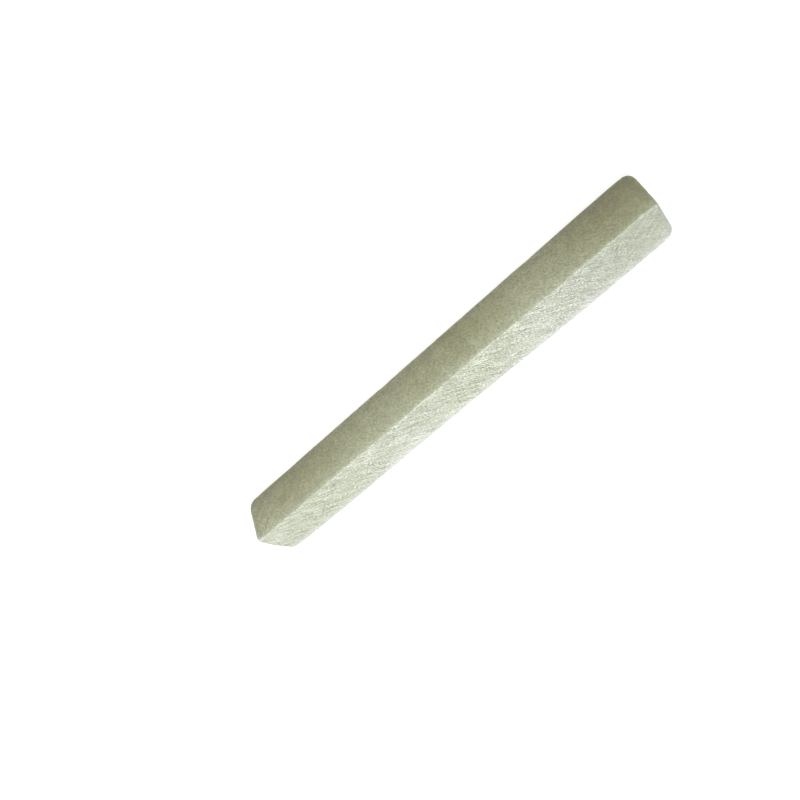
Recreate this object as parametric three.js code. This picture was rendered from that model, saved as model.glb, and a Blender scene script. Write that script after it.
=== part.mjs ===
// A natural soapstone slate pencil: one square stick of stone, sawn by hand and lying on its flat bottom face.
// Millimetres, +Z up. X runs along the stick, -X towards its blunt end and +X towards its worn end.
// The origin is in the bottom face, under the middle of the stick.
import * as THREE from "three";
import { mergeVertices } from "three/addons/utils/BufferGeometryUtils.js";

// The sawn blank
const LENGTH = 72;
const WIDTH = 7.2;
const HEIGHT = 7.2;

// The rear face wanders a little, as the saw did
const REAR_WANDER = 0.1;
const REAR_WANDER_PITCH = 43;
const REAR_WANDER_CREST = 22.6;

// Radii of the four long arrises, away from the ends and the chips
const FRONT_TOP_ARRIS = 0.16;
const REAR_TOP_ARRIS = 0.38;
const FRONT_BOTTOM_ARRIS = 0.3;
const REAR_BOTTOM_ARRIS = 0.4;

// Each arris is rubbed rounder just before an end
const END_RUB = 0.7;
const END_RUB_REACH = 0.9;

// Blunt end: how far each side face rounds over into the end face, and how the cut leans and swings
const BLUNT_BOTTOM_ROUND = 1.25;
const BLUNT_REAR_ROUND = 1.25;
const BLUNT_FRONT_ROUND = 0.3;
const BLUNT_TOP_ROUND = 0.3;
const BLUNT_LEAN_DEG = 4.1;
const BLUNT_SWING_DEG = -0.1;

// Worn end: the same, and how far its rear half is worn back
const WORN_BOTTOM_ROUND = 1.55;
const WORN_REAR_ROUND = 0.7;
const WORN_FRONT_ROUND = 0.8;
const WORN_TOP_ROUND = 0.8;
const WORN_LEAN_DEG = 1.3;
const WORN_SWING_DEG = -2.6;
const WORN_BEVEL_DEG = 10.5;
const BEVEL_SOFTNESS = 0.8;

// A slanted cut is followed by the sections over this length from its end
const CUT_REACH = 6;

// How finely the stone is drawn
const STATION_PITCH = 0.5;
const END_STATIONS = 14;
const ARRIS_STEPS = 4;

// Worn and chipped stretches of the long arrises. from is the distance of a stretch's middle from the
// stick's worn end, long is its length, and bite is how much it adds to the arris radius.
const CHIPS = [
  { arris: "frontTop", from: 21, long: 3, bite: 0.04 },
  { arris: "frontTop", from: 33.3, long: 6.4, bite: 0.06 },
  { arris: "frontTop", from: 44.2, long: 5.8, bite: 0.06 },
  { arris: "frontTop", from: 69.5, long: 1.8, bite: 0.05 },
  { arris: "rearTop", from: 5.8, long: 1.1, bite: 0.25 },
  { arris: "rearTop", from: 20.2, long: 4.4, bite: 0.06 },
  { arris: "rearTop", from: 21.4, long: 1.3, bite: 0.08 },
  { arris: "rearTop", from: 37.2, long: 3.6, bite: 0.08 },
  { arris: "rearTop", from: 62.3, long: 4, bite: 0.06 },
  { arris: "rearTop", from: 63.5, long: 1.2, bite: 0.07 },
  { arris: "frontBottom", from: 9.6, long: 3, bite: 0.05 },
  { arris: "frontBottom", from: 29.5, long: 2.8, bite: 0.08 },
  { arris: "frontBottom", from: 30.2, long: 0.9, bite: 0.07 },
  { arris: "frontBottom", from: 55.6, long: 3.4, bite: 0.07 },
  { arris: "rearBottom", from: 17.3, long: 4, bite: 0.12 },
  { arris: "rearBottom", from: 16.4, long: 1.1, bite: 0.1 },
  { arris: "rearBottom", from: 44.1, long: 2.6, bite: 0.14 },
  { arris: "rearBottom", from: 58.8, long: 5, bite: 0.06 },
];

const bluntEnd = {
  bottom: BLUNT_BOTTOM_ROUND,
  rear: BLUNT_REAR_ROUND,
  front: BLUNT_FRONT_ROUND,
  top: BLUNT_TOP_ROUND,
  lean: slope(BLUNT_LEAN_DEG),
  swing: slope(BLUNT_SWING_DEG),
  bevel: 0,
};

const wornEnd = {
  bottom: WORN_BOTTOM_ROUND,
  rear: WORN_REAR_ROUND,
  front: WORN_FRONT_ROUND,
  top: WORN_TOP_ROUND,
  lean: slope(WORN_LEAN_DEG),
  swing: slope(WORN_SWING_DEG),
  bevel: slope(WORN_BEVEL_DEG),
};

function slope(degrees) {
  return Math.tan(THREE.MathUtils.degToRad(degrees));
}

// How far a side has come in, depth from the end plane, where it rounds over with a radius.
function roundOver(depth, radius) {
  const left = Math.max(radius - depth, 0);
  return radius - Math.sqrt(radius * radius - left * left);
}

// 1 in the middle of a stretch, 0 at its ends and beyond, smooth between.
function bump(offset, length) {
  const share = Math.abs(offset) / (length / 2);
  return share < 1 ? 0.5 + 0.5 * Math.cos(Math.PI * share) : 0;
}

// The radius of one arris at x, with its rubbed ends and its chips.
function arrisRadius(name, base, x) {
  const depth = LENGTH / 2 - Math.abs(x);
  const rub = END_RUB * Math.exp(-depth / END_RUB_REACH);
  const chipped = CHIPS.filter((chip) => chip.arris === name).reduce(
    (sum, chip) => sum + chip.bite * bump(x - (LENGTH / 2 - chip.from), chip.long),
    0,
  );
  return base + rub + chipped;
}

// One quarter turn of a section about an arris centre, from a start angle in quarter turns.
function arrisArc(y, z, radius, quarter) {
  return Array.from({ length: ARRIS_STEPS + 1 }, (_, step) => {
    const angle = (quarter + step / ARRIS_STEPS) * (Math.PI / 2);
    return [y + radius * Math.cos(angle), z + radius * Math.sin(angle)];
  });
}

// The closed outline of the stone at x, counter-clockwise as seen from +X.
function sectionAt(x) {
  const end = x < 0 ? bluntEnd : wornEnd;
  const depth = LENGTH / 2 - Math.abs(x);
  const wander = REAR_WANDER * Math.cos((2 * Math.PI * (x - REAR_WANDER_CREST)) / REAR_WANDER_PITCH);
  const front = -WIDTH / 2 + roundOver(depth, end.front);
  const rear = WIDTH / 2 + wander - roundOver(depth, end.rear);
  const bottom = roundOver(depth, end.bottom);
  const top = HEIGHT - roundOver(depth, end.top);
  const rearTop = arrisRadius("rearTop", REAR_TOP_ARRIS, x);
  const frontTop = arrisRadius("frontTop", FRONT_TOP_ARRIS, x);
  const frontBottom = arrisRadius("frontBottom", FRONT_BOTTOM_ARRIS, x);
  const rearBottom = arrisRadius("rearBottom", REAR_BOTTOM_ARRIS, x);
  const outline = [
    ...arrisArc(rear - rearTop, top - rearTop, rearTop, 0),
    ...arrisArc(front + frontTop, top - frontTop, frontTop, 1),
    ...arrisArc(front + frontBottom, bottom + frontBottom, frontBottom, 2),
    ...arrisArc(rear - rearBottom, bottom + rearBottom, rearBottom, 3),
  ];
  const follow = THREE.MathUtils.smoothstep(CUT_REACH - depth, 0, CUT_REACH);
  return outline.map(([y, z]) => {
    const behindMiddle = BEVEL_SOFTNESS * Math.log1p(Math.exp(y / BEVEL_SOFTNESS));
    const wornBack = -Math.sign(x) * end.bevel * behindMiddle;
    const slant = end.swing * y + end.lean * (z - HEIGHT / 2) + wornBack;
    return new THREE.Vector3(x + follow * slant, y, z);
  });
}

// Places of the sections along the stick: close together over each rounded end, even between.
function stations() {
  const rounds = [bluntEnd, wornEnd].flatMap((end) => [end.bottom, end.rear, end.front, end.top]);
  const endLength = Math.max(...rounds);
  const depths = Array.from({ length: END_STATIONS }, (_, step) => endLength * (step / END_STATIONS) ** 2);
  const middle = LENGTH - 2 * endLength;
  const count = Math.ceil(middle / STATION_PITCH);
  const even = Array.from({ length: count + 1 }, (_, step) => -middle / 2 + (middle * step) / count);
  return [
    ...depths.map((depth) => depth - LENGTH / 2),
    ...even,
    ...depths.map((depth) => LENGTH / 2 - depth).reverse(),
  ];
}

// Skins neighbouring sections together and closes the two sawn end faces.
function stoneGeometry() {
  const sections = stations().map(sectionAt);
  const around = sections[0].length;
  const points = sections.flat();
  const index = [];
  for (let ring = 0; ring + 1 < sections.length; ring++) {
    for (let step = 0; step < around; step++) {
      const next = (step + 1) % around;
      const a = ring * around + step;
      const b = ring * around + next;
      index.push(a, b, a + around, b, b + around, a + around);
    }
  }
  for (const first of [0, (sections.length - 1) * around]) {
    const middle = points.length;
    const rim = points.slice(first, first + around);
    points.push(rim.reduce((sum, point) => sum.add(point), new THREE.Vector3()).divideScalar(around));
    for (let step = 0; step < around; step++) {
      const a = first + step;
      const b = first + ((step + 1) % around);
      index.push(...(first === 0 ? [middle, b, a] : [middle, a, b]));
    }
  }
  const geometry = new THREE.BufferGeometry().setFromPoints(points).setIndex(index);
  const closed = mergeVertices(geometry);
  closed.computeVertexNormals();
  closed.computeBoundingBox();
  return closed;
}

// Puts the origin under the middle of the stick, on the plane that it lies on.
function centredOnItsBase(geometry) {
  const middle = geometry.boundingBox.getCenter(new THREE.Vector3());
  return geometry.translate(-middle.x, -middle.y, -geometry.boundingBox.min.z);
}

const soapstone = new THREE.MeshStandardMaterial({
  name: "soapstone",
  color: new THREE.Color(0.69, 0.7, 0.6),
  roughness: 0.75,
  metalness: 0,
});

const stoneStick = new THREE.Mesh(centredOnItsBase(stoneGeometry()), soapstone);
stoneStick.name = "stone_stick";

const slatePencil = new THREE.Group();
slatePencil.name = "slate_pencil";
slatePencil.add(stoneStick);

export default slatePencil;
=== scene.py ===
"""A natural soapstone slate pencil: one stick of sawn stone on a pale floor, in soft studio light.

The stone is drawn again as a fine mesh round the CAD solid, with its saw marks, grain and crumbled arrises.
Its sizes are in millimetres on the sawn blank, and turn into metres once, where the mesh is made.
"""

import math
from types import SimpleNamespace

import bmesh
import bpy
import numpy as np
from mathutils import Matrix, Vector, noise


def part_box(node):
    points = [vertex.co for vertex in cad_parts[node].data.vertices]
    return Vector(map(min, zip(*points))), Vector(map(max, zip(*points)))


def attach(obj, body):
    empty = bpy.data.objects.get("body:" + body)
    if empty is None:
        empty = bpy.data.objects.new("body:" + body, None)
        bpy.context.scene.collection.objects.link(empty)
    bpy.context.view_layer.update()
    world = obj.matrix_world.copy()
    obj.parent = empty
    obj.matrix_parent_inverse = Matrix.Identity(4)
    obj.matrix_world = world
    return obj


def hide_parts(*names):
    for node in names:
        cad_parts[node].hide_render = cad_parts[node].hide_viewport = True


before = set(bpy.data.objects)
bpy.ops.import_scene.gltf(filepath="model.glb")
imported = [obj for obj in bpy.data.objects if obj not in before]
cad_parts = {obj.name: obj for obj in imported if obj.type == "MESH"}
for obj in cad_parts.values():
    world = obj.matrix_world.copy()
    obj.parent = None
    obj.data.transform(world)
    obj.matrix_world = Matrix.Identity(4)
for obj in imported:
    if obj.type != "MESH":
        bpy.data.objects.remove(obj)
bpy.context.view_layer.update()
NODE = "stone_stick"
MM = 0.001

# The sawn blank
LENGTH = 72.0
WIDTH = 7.2
HEIGHT = 7.2

# The rear face wanders a little, as the saw did
REAR_WANDER = 0.1
REAR_WANDER_PITCH = 43.0
REAR_WANDER_CREST = 22.6

# Arrises in the order of a section, which starts at the top rear one and goes over the front
ARRISES = ("rear_top", "front_top", "front_bottom", "rear_bottom")
ARRIS_RADIUS = {"rear_top": 0.38, "front_top": 0.16, "front_bottom": 0.3, "rear_bottom": 0.4}

# Each arris is rubbed rounder just before an end
END_RUB = 0.7
END_RUB_REACH = 0.9

# Crumbling of the arrises, as noise: the size of its coarse and fine breaks, how much the fine ones count,
# the noise below which an arris is whole, and how much the rest adds to its radius
COARSE_CRUMB = 1.3
FINE_CRUMB = 0.45
FINE_CRUMB_SHARE = 0.5
CRUMB_FLOOR = 0.25
CRUMB_GROWTH = 0.35

# How far each side face rounds over into an end face, and the angles in degrees at which the end's cut leans
# and swings and is worn back behind the middle. The sections follow a slanted cut over its reach.
BLUNT_END = {"bottom": 1.25, "rear": 1.25, "front": 0.3, "top": 0.3, "lean": 4.1, "swing": -0.1, "bevel": 0.0}
WORN_END = {"bottom": 1.55, "rear": 0.7, "front": 0.8, "top": 0.8, "lean": 1.3, "swing": -2.6, "bevel": 10.5}
ROUNDED_SIDES = ("bottom", "rear", "front", "top")
BEVEL_SOFTNESS = 0.8
CUT_REACH = 6.0

# Worn and chipped stretches: arris, distance of the stretch's middle from the worn end, length, how much the
# arris radius grows, and how pale its bared stone is, a paleness that partly paints a highlight along the
# arris
CHIPS = (
    ("front_top", 0.9, 2.4, 0.0, 0.6),
    ("front_top", 15.5, 3.4, 0.02, 0.2),
    ("front_top", 21.0, 3.0, 0.04, 0.3),
    ("front_top", 33.3, 6.4, 0.06, 0.6),
    ("front_top", 39.3, 2.2, 0.03, 0.35),
    ("front_top", 44.2, 5.8, 0.06, 0.6),
    ("front_top", 48.7, 3.4, 0.03, 0.2),
    ("front_top", 60.2, 3.8, 0.03, 0.2),
    ("front_top", 69.5, 1.8, 0.05, 0.45),
    ("rear_top", 5.8, 1.1, 0.25, 0.4),
    ("rear_top", 20.2, 4.4, 0.06, 0.4),
    ("rear_top", 21.4, 1.3, 0.08, 0.2),
    ("rear_top", 37.2, 3.6, 0.08, 0.3),
    ("rear_top", 62.3, 4.0, 0.06, 0.3),
    ("rear_top", 63.5, 1.2, 0.07, 0.2),
    ("front_bottom", 9.6, 3.0, 0.05, 0.2),
    ("front_bottom", 29.5, 2.8, 0.08, 0.3),
    ("front_bottom", 30.2, 0.9, 0.07, 0.2),
    ("front_bottom", 55.6, 3.4, 0.07, 0.3),
    ("rear_bottom", 17.3, 4.0, 0.12, 0.3),
    ("rear_bottom", 16.4, 1.1, 0.1, 0.2),
    ("rear_bottom", 44.1, 2.6, 0.14, 0.3),
    ("rear_bottom", 58.8, 5.0, 0.06, 0.2),
)

# How finely the mesh is drawn. The fineness is how many times as many sections a rounded end has for its
# length, and the crowding is how strongly they gather towards the end face.
STATION_PITCH = 0.15
END_FINENESS = 1.3
END_CROWDING = 0.8
FLAT_STEPS = 43
ARC_STEPS = 5
SIDE_STEPS = ARC_STEPS + FLAT_STEPS
CAP_RINGS = 19

# Relief of the sawn faces: the slope of the strokes against the stick, then length, width and height of two
# kinds of stroke, size and height of two kinds of grain, and size and height of a slow swell
STROKE_ANGLE = math.radians(-30)
STROKES = ((1.6, 0.34, 0.010), (3.2, 0.6, 0.008))
GRAINS = ((0.42, 0.006), (0.8, 0.008))
SWELL_SIZE = 6.0
SWELL_HEIGHT = 0.03

# How far apart noises are taken: those of two seeds in cells, and the strokes of two faces in millimetres
SEEDS_APART = 17.3
FACES_APART = 31.0

# The first seed of each kind of relief
SWELL_SEED = 1
STROKE_SEED = 2
GRAIN_SEED = 5


def round_over(depth, radius):
    """How far a side has come in, depth from the end plane, where it rounds over with a radius."""
    left = np.maximum(radius - depth, 0.0)
    return radius - np.sqrt(radius * radius - left * left)


def bump(offset, length):
    """1 in the middle of a stretch, 0 at its ends and beyond, smooth between."""
    share = np.minimum(np.abs(offset) / (length / 2), 1.0)
    return 0.5 + 0.5 * np.cos(np.pi * share)


def smooth(share):
    """0 at 0 and below, 1 at 1 and above, smooth between."""
    share = np.clip(share, 0.0, 1.0)
    return share * share * (3 - 2 * share)


def field(points, cell, seed):
    """Smooth noise from -1 to 1 at each point, with features of about a cell: one size in mm, or three."""
    moved = points / np.array(cell) + SEEDS_APART * seed
    return np.array([noise.noise(p) for p in moved.tolist()])


def chipped(x, name):
    """How much the chips add to an arris radius at each station, and how pale its bared stone is, partly as a
    painted highlight.
    """
    bite, pale = np.zeros_like(x), np.zeros_like(x)
    for arris, middle, long, deep, paleness in CHIPS:
        if arris == name:
            here = bump(x - (LENGTH / 2 - middle), long)
            bite += deep * here
            pale = np.maximum(pale, paleness * here)
    return bite, pale


def arris_radii(x):
    """Radius of each arris at each station, with rubbed ends, chips and a little crumbling."""
    depth = LENGTH / 2 - np.abs(x)
    rub = END_RUB * np.exp(-depth / END_RUB_REACH)
    along = np.column_stack([x, np.zeros_like(x), np.zeros_like(x)])
    radii = {}
    for number, name in enumerate(ARRISES):
        fine = field(along, FINE_CRUMB, number + len(ARRISES))
        crumbled = field(along, COARSE_CRUMB, number) + FINE_CRUMB_SHARE * fine
        grown = 1 + CRUMB_GROWTH * np.maximum(crumbled - CRUMB_FLOOR, 0.0)
        radii[name] = ARRIS_RADIUS[name] * grown + rub + chipped(x, name)[0]
    return radii


def arris_bareness_and_highlight():
    """How pale the bared stone is at each point of the rings, from 0 to 1, partly as a painted highlight:
    only the arrises are bared.
    """
    x = stations()
    bare_and_highlight = np.zeros((len(x), len(ARRISES) * SIDE_STEPS))
    for number, name in enumerate(ARRISES):
        first = number * SIDE_STEPS
        bare_and_highlight[:, first:first + ARC_STEPS + 1] = chipped(x, name)[1][:, None]
    return bare_and_highlight


def end_values(x, key):
    """One of the ends' values at each station, from the end that is nearer."""
    return np.where(x < 0, BLUNT_END[key], WORN_END[key])


def slopes(x, key):
    """The slope of one of the ends' angles at each station, as a column."""
    return np.tan(np.radians(end_values(x, key)))[:, None]


def stations():
    """Places of the sections along the stick: closer together over the rounded ends."""
    end_length = max(end[side] for end in (BLUNT_END, WORN_END) for side in ROUNDED_SIDES)
    steps = round(end_length / STATION_PITCH * END_FINENESS)
    depths = end_length * (1 - np.cos(np.linspace(0, np.pi / 2, steps))) ** END_CROWDING
    even_to = LENGTH / 2 - end_length
    even = np.linspace(-even_to, even_to, round(2 * even_to / STATION_PITCH))
    return np.concatenate([depths - LENGTH / 2, even[1:-1], (LENGTH / 2 - depths)[::-1]])


def arris_arcs(x):
    """The quarter turn of each arris at each station, as stations by points by two."""
    depth = LENGTH / 2 - np.abs(x)
    wander = REAR_WANDER * np.cos(2 * np.pi * (x - REAR_WANDER_CREST) / REAR_WANDER_PITCH)
    front = -WIDTH / 2 + round_over(depth, end_values(x, "front"))
    rear = WIDTH / 2 + wander - round_over(depth, end_values(x, "rear"))
    bottom = round_over(depth, end_values(x, "bottom"))
    top = HEIGHT - round_over(depth, end_values(x, "top"))
    radii = arris_radii(x)
    centres = {
        "rear_top": (rear - radii["rear_top"], top - radii["rear_top"]),
        "front_top": (front + radii["front_top"], top - radii["front_top"]),
        "front_bottom": (front + radii["front_bottom"], bottom + radii["front_bottom"]),
        "rear_bottom": (rear - radii["rear_bottom"], bottom + radii["rear_bottom"]),
    }
    arcs = []
    for quarter, name in enumerate(ARRISES):
        angles = np.linspace(quarter, quarter + 1, ARC_STEPS + 1) * np.pi / 2
        y, z = (values[:, None] for values in centres[name])
        radius = radii[name][:, None]
        arcs.append(np.stack([y + radius * np.cos(angles), z + radius * np.sin(angles)], -1))
    return arcs


def stone_rings():
    """Sections of the stone as an array of stations by points by three, in millimetres."""
    x = stations()
    arcs = arris_arcs(x)
    shares = np.linspace(0, 1, FLAT_STEPS + 1)[1:-1]
    outline = []
    for number, arc in enumerate(arcs):
        start, stop = arc[:, -1:], arcs[(number + 1) % len(arcs)][:, :1]
        outline += [arc, start + (stop - start) * shares[None, :, None]]
    section = np.concatenate(outline, axis=1)
    across, up = section[..., 0], section[..., 1]
    behind = np.logaddexp(0.0, across / BEVEL_SOFTNESS) * BEVEL_SOFTNESS
    worn_back = slopes(x, "bevel") * -np.sign(x)[:, None] * behind
    slant = slopes(x, "swing") * across + slopes(x, "lean") * (up - HEIGHT / 2) + worn_back
    depth = LENGTH / 2 - np.abs(x)
    follow = smooth((CUT_REACH - depth) / CUT_REACH)
    return np.concatenate([(x[:, None] + follow[:, None] * slant)[..., None], section], axis=-1)


def capped(rings):
    """The rings with a row of shrinking rings over each end face, from one end's middle to the other's."""
    shares = np.linspace(0, 1, CAP_RINGS + 1)[:-1]
    caps = []
    for ring in (rings[0], rings[-1]):
        middle = ring.mean(axis=0)
        caps.append(middle + (ring - middle) * shares[:, None, None])
    return np.concatenate([caps[0][1:], rings, caps[1][:0:-1]]), caps[0][0, 0], caps[1][0, 0]


def skin(name, rings, first, last):
    """A closed mesh over the rings, with a point at each end."""
    count, around = rings.shape[:2]
    grid = np.arange(count * around).reshape(count, around)
    turned = np.roll(grid, -1, axis=1)
    quads = np.stack([grid[:-1], turned[:-1], turned[1:], grid[1:]], -1).reshape(-1, 4)
    start, stop = count * around, count * around + 1
    faces = quads.tolist()
    faces += [(start, b, a) for a, b in zip(grid[0].tolist(), turned[0].tolist())]
    faces += [(stop, a, b) for a, b in zip(grid[-1].tolist(), turned[-1].tolist())]
    points = np.concatenate([rings.reshape(-1, 3), [first, last]])
    mesh = bpy.data.meshes.new(name)
    mesh.from_pydata(points.tolist(), [], faces)
    mesh.polygons.foreach_set("use_smooth", np.ones(len(mesh.polygons), bool))
    mesh.update()
    return mesh


def vectors(collection, key):
    """One vector for each member of a mesh's collection, as rows."""
    out = np.zeros(len(collection) * 3)
    collection.foreach_get(key, out)
    return out.reshape(-1, 3)


def face_plane(points, normals):
    """Coordinates in each point's own face: along the stick, up or across it, and which face it is."""
    across_is_y = np.abs(normals[:, 2]) > np.abs(normals[:, 1])
    across = np.where(across_is_y, points[:, 1], points[:, 2])
    side = np.where(across_is_y, 1 + np.sign(normals[:, 2]), 4 + np.sign(normals[:, 1]))
    return points[:, 0], across, side


def relief(points, normals):
    """Height of the sawn surface over its plane, in millimetres."""
    along, across, side = face_plane(points, normals)
    u = along * math.cos(STROKE_ANGLE) + across * math.sin(STROKE_ANGLE)
    v = across * math.cos(STROKE_ANGLE) - along * math.sin(STROKE_ANGLE)
    flat = np.column_stack([u, v, FACES_APART * side])
    height = SWELL_HEIGHT * field(points, SWELL_SIZE, SWELL_SEED)
    for number, (length, width, high) in enumerate(STROKES):
        height += high * field(flat, (length, width, 1.0), STROKE_SEED + number)
    for number, (size, high) in enumerate(GRAINS):
        height += high * field(points, size, GRAIN_SEED + number)
    return height


def fitted(points, low, high):
    """The points moved and stretched a hair, so that their box is the CAD solid's."""
    own_low, own_high = points.min(axis=0), points.max(axis=0)
    return low + (points - own_low) * (high - low) / (own_high - own_low)


def make_stone():
    """The stone as one object, in the CAD solid's box, with its relief and with how bare each point is, which
    partly paints a highlight on the arrises.
    """
    rings, first, last = capped(stone_rings())
    mesh = skin("stone", rings, first, last)
    low, high = (np.array(corner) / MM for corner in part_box(NODE))
    points = fitted(vectors(mesh.vertices, "co"), low, high)
    normals = vectors(mesh.vertices, "normal")
    lifted = points + normals * relief(points, normals)[:, None]
    lifted[:, 2] = np.maximum(lifted[:, 2], low[2])
    bare_and_highlight = np.pad(arris_bareness_and_highlight(), ((CAP_RINGS - 1, CAP_RINGS - 1), (0, 0)), "edge").ravel()
    mesh.attributes.new("bare_and_highlight", "FLOAT", "POINT").data.foreach_set("value", np.append(bare_and_highlight, (0.0, 0.0)))
    mesh.vertices.foreach_set("co", (lifted * MM).ravel())
    mesh.update()
    stone = bpy.data.objects.new("stone", mesh)
    bpy.context.scene.collection.objects.link(stone)
    return stone


# Blender's wave texture turns by this many radians for each unit of its place. The bands waver by this much,
# with finer detail.
WAVE_TURNS = 20
WAVE_WAVER = 1.2
WAVE_DETAIL = 2.0


class Nodes:
    """A material's nodes, made and wired by short calls."""

    def __init__(self, name):
        self.material = bpy.data.materials.new(name)
        self.material.use_nodes = True
        self.tree = self.material.node_tree
        self.shader = self.tree.nodes["Principled BSDF"]

    def add(self, kind, inputs=None, **settings):
        """Makes a node of a kind, with its settings and its inputs."""
        node = self.tree.nodes.new(kind)
        for key, value in settings.items():
            setattr(node, key, value)
        self.give(node, inputs or {})
        return node

    def give(self, node, inputs):
        """Links a node's inputs to sockets, or sets them to constants."""
        for key, value in inputs.items():
            if isinstance(value, bpy.types.NodeSocket):
                self.tree.links.new(value, node.inputs[key])
            else:
                node.inputs[key].default_value = value

    def math(self, operation, *values):
        """The result of an operation on numbers."""
        return self.add("ShaderNodeMath", dict(enumerate(values)), operation=operation).outputs[0]

    def product(self, first, *others):
        """The product of two or more numbers."""
        for other in others:
            first = self.math("MULTIPLY", first, other)
        return first

    def vector_math(self, operation, inputs):
        """The result of an operation on vectors or colours."""
        return self.add("ShaderNodeVectorMath", inputs, operation=operation).outputs["Vector"]

    def parts(self, vector):
        """A vector's X, Y and Z."""
        outputs = self.add("ShaderNodeSeparateXYZ", {"Vector": vector}).outputs
        return outputs["X"], outputs["Y"], outputs["Z"]

    def noise(self, place, scale, detail, roughness):
        """Noise from 0 to 1, which gathers round a half."""
        values = {"Vector": place, "Scale": scale, "Detail": detail, "Roughness": roughness}
        return self.add("ShaderNodeTexNoise", values).outputs["Fac"]

    def span(self, value, low, high):
        """0 where the value is at low or beyond it, 1 at high or beyond, smooth between."""
        ends = {"Value": value, "From Min": low, "From Max": high}
        return self.add("ShaderNodeMapRange", ends, interpolation_type="SMOOTHSTEP").outputs[0]

    def spread(self, value, reach):
        """Noise that gathers round a half, spread out: 0 at reach below a half, 1 at reach above it."""
        return self.span(value, 0.5 - reach, 0.5 + reach)

    def blend(self, factor, a, b):
        """Goes from the number a to the number b with the factor."""
        return self.add("ShaderNodeMix", {0: factor, 2: a, 3: b}).outputs[0]

    def mix(self, factor, a, b):
        """Goes from the colour a to the colour b with the factor."""
        a, b = ((*colour, 1.0) if isinstance(colour, tuple) else colour for colour in (a, b))
        return self.add("ShaderNodeMix", {0: factor, 6: a, 7: b}, data_type="RGBA").outputs[2]

    def tint(self, factor, colour, tint):
        """Goes from the colour to its product with the tint."""
        return self.mix(factor, colour, self.vector_math("MULTIPLY", {0: colour, 1: tint}))

    def shade(self, colour, value):
        """The colour made darker by a value under 1, or brighter by one over 1."""
        return self.vector_math("SCALE", {0: colour, "Scale": value})

    def bands(self, vector, pitch, place):
        """Wavy bands across X: 0 at about a place and every pitch from it, 1 between."""
        wave = {
            "Vector": vector,
            "Scale": math.tau / WAVE_TURNS / pitch,
            "Phase Offset": -math.tau * place / pitch,
            "Distortion": WAVE_WAVER,
            "Detail": WAVE_DETAIL,
        }
        return self.add("ShaderNodeTexWave", wave, wave_type="BANDS", bands_direction="X").outputs["Fac"]

    def marks(self, vector, angle, long, wide, detail=1.0, roughness=0.5):
        """Noise in marks of a length and width in millimetres, at an angle to the vector's X."""
        values = {"Vector": vector, "Rotation": (0, 0, math.radians(angle)), "Scale": (long, wide, wide)}
        turned = self.add("ShaderNodeMapping", values, vector_type="TEXTURE").outputs["Vector"]
        return self.noise(turned, 1.0, detail, roughness)


# The stone's colours, as linear light. The top and bottom faces were sawn rough and are paler than the front
# and rear faces, partly with stone dust and partly as a painted sheen. The smooth faces carry painted shade
# low down and painted light towards their top arris, and the dust on the worn arrises is partly a painted
# highlight.
SMOOTH_OLIVE = (0.340, 0.340, 0.186)
SMOOTH_GREY = (0.382, 0.388, 0.243)
# Painted shade: the smooth faces grow darker towards the bottom
PAINTED_LOW_SHADE = (0.262, 0.262, 0.165)
# Painted light: the smooth faces grow paler towards their top arris, and paler still just under it
PAINTED_TOP_LIGHT = (0.505, 0.525, 0.365)
PAINTED_ARRIS_LIGHT = (0.52, 0.56, 0.45)
# Rough faces: paler with stone dust, and partly as a painted sheen
ROUGH_GREEN_AND_SHEEN = (0.418, 0.450, 0.333)
ROUGH_PALE_AND_SHEEN = (0.468, 0.495, 0.397)
# Pale dust: in the powder of rough faces, and on the arrises, where it is partly a painted highlight
PALE_DUST_AND_HIGHLIGHT = (0.74, 0.76, 0.67)
DARK_GRAIN = (0.22, 0.23, 0.16)
REAR_DUST = (0.60, 0.615, 0.62)

# Tints: where hands held the stick, on smooth and rough faces, on their rims at the ends, which is painted
# shade and partly dirt, and on the powdered rear half of the top face
HELD_SMOOTH = (0.757, 0.742, 0.672)
HELD_ROUGH = (0.9, 0.885, 0.93)
# Rim tints: painted shade where the sides round over into the ends, and partly dirt
SMOOTH_RIM_SHADE_AND_DIRT = (0.87, 0.872, 0.94)
ROUGH_RIM_SHADE_AND_DIRT = (0.95, 0.95, 0.985)
POWDERED_REAR = (1.12, 1.12, 1.17)

# How much of each look is laid on where it is full, from 0 to 1. Clouds are laid over the bands.
CLOUD_SHARE = 0.7
PAINTED_LOW_SHADE_SHARE = 0.7
PAINTED_TOP_LIGHT_SHARE = 0.75
PAINTED_ARRIS_LIGHT_SHARE = 0.5
WORN_HELD_SHARE = 0.3
BLUNT_WORN_SHARE = 0.65
WORN_SMOOTH_SHARE = 0.3
REAR_DUST_SHARE = 0.45
ARRIS_DUST_AND_HIGHLIGHT_SHARE = 0.12
SMOOTH_SPECKS_SHARE = 0.12
# Dark specks on smooth faces: more of them low down, where they add to the painted shade
LOW_SHADE_SPECKS_SHARE = 0.34
ROUGH_SPECKS_SHARE = 0.8

# Marks in a face: angle to the stick in degrees, length and width in millimetres, and for grain, finer detail
# and its roughness
ROUGH_STROKES = (-34, 1.8, 0.24)
BLUNT_STROKES = (26, 1.5, 0.36)
SMOOTH_STROKES = (61, 1.4, 0.22)
ROUGH_SCRATCHES = (-48, 3.0, 0.13)
SMOOTH_SCRATCHES = (56, 3.5, 0.12)
ROUGH_GRAIN = (-50, 0.34, 0.18, 2.0, 0.75)
SMOOTH_GRAIN = (-42, 0.46, 0.3, 2.0, 0.75)
WORN_RUBBING = (50, 2.4, 0.4)

# The share of the saw's strokes in the powder of a face. The rest of it is grain.
SMOOTH_STROKES_SHARE = 0.12
ROUGH_STROKES_SHARE = 0.27
BLUNT_STROKES_SHARE = 0.28

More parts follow.
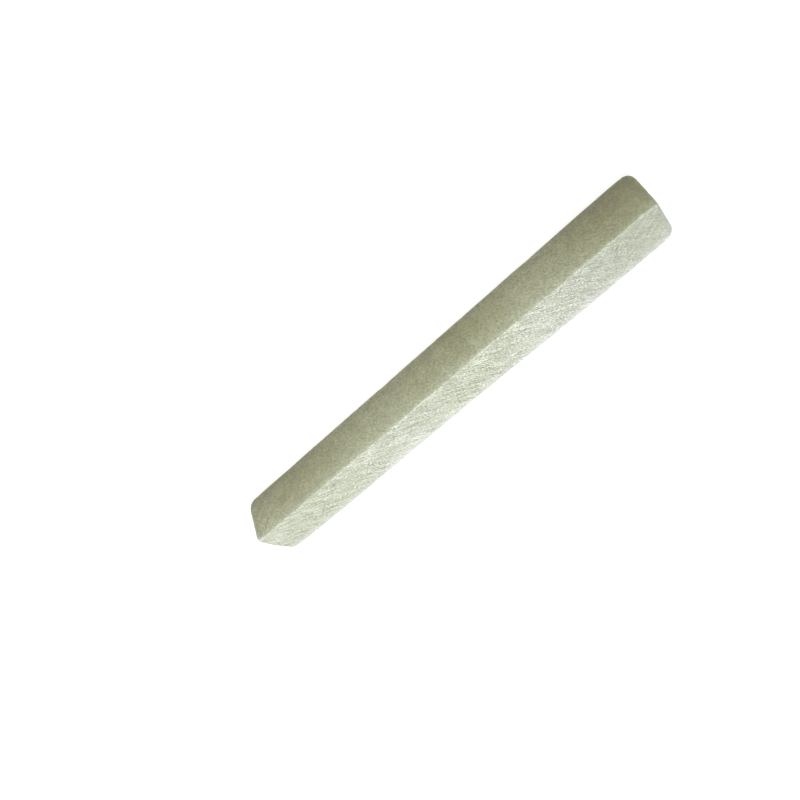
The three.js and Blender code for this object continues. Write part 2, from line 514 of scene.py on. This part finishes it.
# How strong the powder is where it is less than full: in calm patches, on rough faces and at the blunt tip
CALM_PATCHES = 0.6
CALM_ROUGH = 0.85
CALM_TIP = 0.6

# How each kind of mark shades the stone, from its darkest to its brightest
POWDER_SHADES = (0.82, 1.18)
MOTTLE_SHADES = (0.93, 1.08)
SMOOTH_SCRATCH_SHADES = (0.96, 1.04)
ROUGH_SCRATCH_SHADES = (0.9, 1.1)
RUBBING_SHADES = (0.86, 1.12)

# Faint bands across the stone: how far apart they are, and the place of an olive one
BAND_PITCH = 28.0
BAND_AT = -5.0

# Noise in the stone: changes in a millimetre, finer detail and its roughness
JAGGED_NOISE = (2.6, 2.0, 0.5)
RAGGED_NOISE = (0.55, 3.0, 0.6)
CLOUD_NOISE = (0.42, 4.0, 0.6)
MOTTLE_NOISE = (0.9, 4.0, 0.65)
PATCH_NOISE = (0.6, 2.0, 0.5)
ARRIS_DUST_AND_HIGHLIGHT_NOISE = (1.7, 2.0, 0.6)

# How far below a half each noise is at its least, and above a half at its most
CLOUD_REACH = 0.22
MOTTLE_REACH = 0.18
PATCH_REACH = 0.12
POWDER_REACH = 0.11
SCRATCH_REACH = 0.2
RUBBING_REACH = 0.14

# Where a noise starts to show and where it is full: as dust and as dark grain in the powder, and as dust on
# the arrises, which is partly a painted highlight
DUSTY_POWDER = (0.49, 0.585)
DARK_POWDER = (0.49, 0.405)
DUSTY_AND_HIGHLIT_ARRIS = (0.4, 0.65)

# Facings, from 0 across an axis to 1 along it: where each look starts and where it is full. Noise makes the
# border between a smooth and a rough face jagged.
ROUGH_FACING = (0.4, 0.65)
ROUGH_JAGGED_BY = 0.55
END_FACING = (0.6, 0.8)
ARRIS_FACING = (0.1, 0.35)
RIM_FACING = (0.02, 0.28)
WITHIN_RIM_FACING = (0.95, 0.75)

# Where each look starts and where it is full, in millimetres: along X from the middle, across Y from the
# middle, and up from the bottom face
BLUNT_HELD_ALONG = (-16.0, -34.0)
BLUNT_ROUGH_HELD_ALONG = (-8.0, -26.0)
BLUNT_WORN_ALONG = (-18.0, -31.0)
BLUNT_TIP_ALONG = (-28.0, -34.0)
BLUNT_STROKES_ALONG = (-26.0, -32.0)
WORN_HELD_ALONG = (18.0, 27.0)
WORN_SMOOTH_ALONG = (22.0, 34.0)
WORN_RUBBED_ALONG = (29.5, 33.5)
END_RIM = (34.4, 35.6)
# The painted shade low on the smooth faces, and the painted light towards their top arris and just under it
PAINTED_LOW_SHADE_UP = (3.8, 0.0)
PAINTED_TOP_LIGHT_UP = (3.2, 7.4)
PAINTED_ARRIS_LIGHT_UP = (6.2, 7.2)
POWDERED_REAR_ALONG = (20.0, 8.0)
POWDERED_REAR_ACROSS = (-0.8, 2.4)
REAR_DUST_ACROSS = (1.6, 3.6)

# Noise moves the heights of the painted shade low down and the painted light higher up on the smooth faces up
# or down by as much as this, in millimetres
RAGGED_BY = 2.5

# Marks on rough faces are taken this far, in millimetres, from those on smooth ones
ROUGH_MARKS_APART = 9.0

# The stone's finish: how far red, green and blue light goes in, in millimetres, how much of the light does,
# how strongly the stone bends it, how high marks stand on smooth and on rough faces, in millimetres, and how
# rough the gloss is in dark and in pale grain
SCATTER_MM = (1.6, 1.7, 1.4)
SCATTER_SHARE = 0.7
REFRACTION = 1.55
MARK_HEIGHTS = (0.016, 0.04)
ROUGHNESS = (0.3, 0.65)


def where_on_stone(n):
    """What the stone's look follows: place in millimetres, which face, and how near an arris or an end."""
    coordinates = n.add("ShaderNodeTexCoord").outputs
    in_mm = n.vector_math("SCALE", {0: coordinates["Object"], "Scale": 1 / MM})
    x, y, z = n.parts(in_mm)
    facing_x, facing_y, facing_z = n.parts(n.vector_math("ABSOLUTE", {0: coordinates["Normal"]}))
    jagged = n.blend(n.noise(in_mm, *JAGGED_NOISE), -ROUGH_JAGGED_BY, ROUGH_JAGGED_BY)
    rough = n.span(n.math("ADD", facing_z, jagged), *ROUGH_FACING)
    along = n.blend(n.span(facing_x, *END_FACING), x, y)
    on_face = {"X": along, "Y": n.blend(rough, z, y), "Z": n.product(rough, ROUGH_MARKS_APART)}
    ragged = n.blend(n.noise(in_mm, *RAGGED_NOISE), -RAGGED_BY, RAGGED_BY)
    near_end = n.math("MAXIMUM", n.span(facing_x, *RIM_FACING), n.span(n.math("ABSOLUTE", x), *END_RIM))
    return SimpleNamespace(
        in_mm=in_mm, x=x, y=y, z=z, rough=rough,
        ragged_z=n.math("ADD", z, ragged),
        on_face=n.add("ShaderNodeCombineXYZ", on_face).outputs["Vector"],
        blunt_sawn=n.product(rough, n.span(x, *BLUNT_STROKES_ALONG)),
        # The arrises, whose pale stone is partly a painted highlight
        arris=n.span(n.math("MINIMUM", facing_y, facing_z), *ARRIS_FACING),
        # The rims near the ends, where the tint is painted shade and partly dirt
        rim_shade_and_dirt=n.product(near_end, n.span(facing_x, *WITHIN_RIM_FACING)),
    )


def smooth_face_colour(n, at, clouds):
    """Olive and grey, with painted shade low down and painted light towards the top arris, and darker where
    it was held.
    """
    colour = n.mix(clouds, SMOOTH_OLIVE, SMOOTH_GREY)
    # Painted shade: darker towards the bottom of the smooth face
    colour = n.mix(n.product(n.span(at.ragged_z, *PAINTED_LOW_SHADE_UP), PAINTED_LOW_SHADE_SHARE), colour, PAINTED_LOW_SHADE)
    # Painted light: paler towards the top arris, and paler still just under it
    colour = n.mix(n.product(n.span(at.ragged_z, *PAINTED_TOP_LIGHT_UP), PAINTED_TOP_LIGHT_SHARE), colour, PAINTED_TOP_LIGHT)
    colour = n.mix(n.product(n.span(at.z, *PAINTED_ARRIS_LIGHT_UP), PAINTED_ARRIS_LIGHT_SHARE), colour, PAINTED_ARRIS_LIGHT)
    worn_held = n.product(n.span(at.x, *WORN_HELD_ALONG), WORN_HELD_SHARE)
    return n.tint(n.math("MAXIMUM", n.span(at.x, *BLUNT_HELD_ALONG), worn_held), colour, HELD_SMOOTH)


def rough_face_colour(n, at, clouds):
    """Pale green, partly with stone dust and partly as a painted sheen, greyer where the blunt end was held,
    and powdered in its rear half.
    """
    colour = n.mix(clouds, ROUGH_GREEN_AND_SHEEN, ROUGH_PALE_AND_SHEEN)
    colour = n.tint(n.span(at.x, *BLUNT_ROUGH_HELD_ALONG), colour, HELD_ROUGH)
    powdered = n.product(n.span(at.y, *POWDERED_REAR_ACROSS), n.span(at.x, *POWDERED_REAR_ALONG))
    return n.tint(powdered, colour, POWDERED_REAR)


def stone_colour(n, at):
    """The stone's colour without its grain, in faint bands, clouds and mottles."""
    bands = n.bands(at.in_mm, BAND_PITCH, BAND_AT)
    clouds = n.spread(n.blend(CLOUD_SHARE, bands, n.noise(at.in_mm, *CLOUD_NOISE)), CLOUD_REACH)
    colour = n.mix(at.rough, smooth_face_colour(n, at, clouds), rough_face_colour(n, at, clouds))
    mottles = n.spread(n.noise(at.in_mm, *MOTTLE_NOISE), MOTTLE_REACH)
    return n.shade(colour, n.blend(mottles, *MOTTLE_SHADES))


def surface_marks(n, at):
    """The saw's strokes, fine scratches and the grain on each kind of face, as noise from 0 to 1."""
    pairs = (SMOOTH_STROKES, ROUGH_STROKES), (SMOOTH_SCRATCHES, ROUGH_SCRATCHES), (SMOOTH_GRAIN, ROUGH_GRAIN)
    strokes, scratches, grain = (
        n.blend(at.rough, n.marks(at.on_face, *on_smooth), n.marks(at.on_face, *on_rough))
        for on_smooth, on_rough in pairs
    )
    strokes = n.blend(at.blunt_sawn, strokes, n.marks(at.on_face, *BLUNT_STROKES))
    return strokes, scratches, grain


def powder_on(n, at, strokes, grain):
    """The strokes and grain as one noise round a half, in lively and calm patches."""
    share = n.blend(at.rough, SMOOTH_STROKES_SHARE, ROUGH_STROKES_SHARE)
    share = n.blend(at.blunt_sawn, share, BLUNT_STROKES_SHARE)
    patches = n.spread(n.noise(at.in_mm, *PATCH_NOISE), PATCH_REACH)
    calmed = n.blend(n.span(at.x, *BLUNT_TIP_ALONG), n.blend(at.rough, 1.0, CALM_ROUGH), CALM_TIP)
    strength = n.product(n.blend(patches, CALM_PATCHES, 1.0), calmed)
    return n.blend(strength, 0.5, n.blend(share, grain, strokes))


def grained(n, at, colour, strokes, scratches, grain):
    """The colour with its marks: some are pale with dust, others dark."""
    powder = powder_on(n, at, strokes, grain)
    colour = n.shade(colour, n.blend(n.spread(powder, POWDER_REACH), *POWDER_SHADES))
    scratched = n.spread(scratches, SCRATCH_REACH)
    on_smooth = n.blend(scratched, *SMOOTH_SCRATCH_SHADES)
    on_rough = n.blend(scratched, *ROUGH_SCRATCH_SHADES)
    colour = n.shade(colour, n.blend(at.rough, on_smooth, on_rough))
    blunt_worn = n.product(n.span(at.x, *BLUNT_WORN_ALONG), BLUNT_WORN_SHARE)
    worn_smooth = n.product(n.span(at.x, *WORN_SMOOTH_ALONG), WORN_SMOOTH_SHARE)
    unworn = n.math("SUBTRACT", 1.0, n.math("MAXIMUM", blunt_worn, worn_smooth))
    coarse = n.product(at.rough, unworn)
    colour = n.mix(n.product(n.span(powder, *DUSTY_POWDER), coarse), colour, PALE_DUST_AND_HIGHLIGHT)
    # Dark specks, more of them low on smooth faces, where they add to the painted shade
    specks = n.blend(n.span(at.ragged_z, *PAINTED_LOW_SHADE_UP), SMOOTH_SPECKS_SHARE, LOW_SHADE_SPECKS_SHARE)
    specks = n.blend(coarse, specks, ROUGH_SPECKS_SHARE)
    return n.mix(n.product(n.span(powder, *DARK_POWDER), specks), colour, DARK_GRAIN)


def wear_dust_and_painted_edges(n, at, colour):
    """The colour rubbed at the worn end, dusty at the rear, pale on the arrises with dust and a painted
    highlight, and darker on the rims with painted shade and partly dirt.
    """
    rubbing = n.blend(n.spread(n.marks(at.on_face, *WORN_RUBBING), RUBBING_REACH), *RUBBING_SHADES)
    rubbed = n.product(n.span(at.x, *WORN_RUBBED_ALONG), n.math("SUBTRACT", 1.0, at.rough))
    colour = n.shade(colour, n.blend(rubbed, 1.0, rubbing))
    at_rear = n.product(n.span(at.y, *REAR_DUST_ACROSS), at.rough, REAR_DUST_SHARE)
    colour = n.mix(at_rear, colour, REAR_DUST)
    # The arrises paler where bared or dusty, which is partly a painted highlight
    bare_and_highlight = n.add("ShaderNodeAttribute", attribute_name="bare_and_highlight").outputs["Fac"]
    dusted_and_highlit = n.product(n.span(n.noise(at.in_mm, *ARRIS_DUST_AND_HIGHLIGHT_NOISE), *DUSTY_AND_HIGHLIT_ARRIS), ARRIS_DUST_AND_HIGHLIGHT_SHARE)
    colour = n.mix(n.product(at.arris, n.math("MAXIMUM", bare_and_highlight, dusted_and_highlit)), colour, PALE_DUST_AND_HIGHLIGHT)
    # Darker rims at the ends: painted shade where the roundings turn away, and partly dirt
    return n.tint(at.rim_shade_and_dirt, colour, n.mix(at.rough, SMOOTH_RIM_SHADE_AND_DIRT, ROUGH_RIM_SHADE_AND_DIRT))


def soapstone():
    """The stone's material."""
    n = Nodes("soapstone")
    at = where_on_stone(n)
    strokes, scratches, grain = surface_marks(n, at)
    colour = grained(n, at, stone_colour(n, at), strokes, scratches, grain)
    height = n.product(n.math("ADD", strokes, grain), n.blend(at.rough, *MARK_HEIGHTS))
    n.give(n.shader, {
        "Base Color": wear_dust_and_painted_edges(n, at, colour),
        "Normal": n.add("ShaderNodeBump", {"Height": height, "Distance": MM}).outputs["Normal"],
        "Roughness": n.blend(grain, *ROUGHNESS),
        "Subsurface Weight": SCATTER_SHARE,
        "Subsurface Radius": SCATTER_MM,
        "Subsurface Scale": MM,
        "IOR": REFRACTION,
    })
    return n.material


stone = make_stone()
stone.data.materials.append(soapstone())
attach(stone, "root")
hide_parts(NODE)


# The floor and the backdrop, in metres, and the studio's light. Strengths are for Blender's sun lamps, which
# light the floor evenly, and spreads are in degrees.
FLOOR_SIZE = 8.0
FLOOR_WHITE = 0.38
FLOOR_GLOW = 0.79
FLOOR_ROUGHNESS = 0.9
BACKDROP_RADIUS = 3.5
BACKDROP_SEGMENTS = 32
BACKDROP_RINGS = 16
BACKDROP_GLOW = 1.0
WORLD_LIGHT = 0.5
OVERHEAD = {"towards": (0.1, 0.25, 1.0), "strength": 1.1, "spread": 60.0}
REAR_KEY = {"towards": (0.12, 0.25, 0.96), "strength": 1.62, "spread": 30.0}
WHITE = (1, 1, 1, 1)
BLACK = (0, 0, 0, 1)


def stage_piece(name, mesh, material):
    """A piece of the set, which isn't part of the object."""
    piece = bpy.data.objects.new(name, mesh)
    mesh.materials.append(material)
    bpy.context.scene.collection.objects.link(piece)
    return piece


def make_floor():
    """The pale square that the stone lies on."""
    half = FLOOR_SIZE / 2
    corners = [(-half, -half, 0), (half, -half, 0), (half, half, 0), (-half, half, 0)]
    mesh = bpy.data.meshes.new("floor")
    mesh.from_pydata(corners, [], [(0, 1, 2, 3)])
    n = Nodes("pale_floor")
    n.give(n.shader, {
        "Base Color": (FLOOR_WHITE, FLOOR_WHITE, FLOOR_WHITE, 1),
        "Roughness": FLOOR_ROUGHNESS,
        "Emission Color": WHITE,
        "Emission Strength": FLOOR_GLOW,
    })
    stage_piece("floor", mesh, n.material)


def make_backdrop():
    """A white shell round the set, that is seen and lights nothing."""
    shell = bmesh.new()
    fineness = {"u_segments": BACKDROP_SEGMENTS, "v_segments": BACKDROP_RINGS}
    bmesh.ops.create_uvsphere(shell, radius=BACKDROP_RADIUS, **fineness)
    mesh = bpy.data.meshes.new("backdrop")
    shell.to_mesh(mesh)
    shell.free()
    n = Nodes("white_backdrop")
    n.give(n.shader, {"Base Color": BLACK, "Emission Color": WHITE, "Emission Strength": BACKDROP_GLOW})
    backdrop = stage_piece("backdrop", mesh, n.material)
    backdrop.visible_diffuse = False
    backdrop.visible_glossy = False
    backdrop.visible_transmission = False
    backdrop.visible_volume_scatter = False
    backdrop.visible_shadow = False


def sun(name, towards, strength, spread):
    """A soft, distant light that shines from a direction."""
    data = bpy.data.lights.new(name, "SUN")
    data.energy = strength
    data.angle = math.radians(spread)
    lamp = bpy.data.objects.new(name, data)
    lamp.rotation_euler = (-Vector(towards)).to_track_quat("-Z", "Y").to_euler()
    bpy.context.scene.collection.objects.link(lamp)


def light_the_world():
    """Even white light from all round."""
    world = bpy.data.worlds.new("studio")
    world.use_nodes = True
    background = world.node_tree.nodes["Background"].inputs
    background["Color"].default_value = WHITE
    background["Strength"].default_value = WORLD_LIGHT
    bpy.context.scene.world = world


make_floor()
make_backdrop()
sun("overhead", **OVERHEAD)
sun("rear_key", **REAR_KEY)
light_the_world()
bpy.context.scene.view_settings.view_transform = "Standard"

# The camera, from the photograph's perspective: its place and the nearest that it sees, in millimetres, and
# its heading from +Y, its tilt from straight down and its roll, in degrees
CAMERA_PLACE = (-23.329, -73.348, 65.581)
CAMERA_NEAREST = 5.0
CAMERA_HEADING = -22.26
CAMERA_TILT = 50.858
CAMERA_ROLL = 153.743
FOCAL_PIXELS = 700.0
PICTURE_PIXELS = 800.0
SENSOR_MM = 36.0


def turn(degrees, axis):
    """A turn about one of a camera's own axes."""
    return Matrix.Rotation(math.radians(degrees), 4, axis)


def make_camera():
    """The camera that took the photograph, as its perspective gives it."""
    data = bpy.data.cameras.new("camera")
    data.sensor_width = SENSOR_MM
    data.lens = FOCAL_PIXELS / PICTURE_PIXELS * SENSOR_MM
    data.clip_start = CAMERA_NEAREST * MM
    camera = bpy.data.objects.new("camera", data)
    place = Matrix.Translation(Vector(CAMERA_PLACE) * MM)
    turned = turn(CAMERA_HEADING, "Z") @ turn(CAMERA_TILT, "X") @ turn(CAMERA_ROLL, "Z")
    camera.matrix_world = place @ turned
    bpy.context.scene.collection.objects.link(camera)
    bpy.context.scene.camera = camera


make_camera()
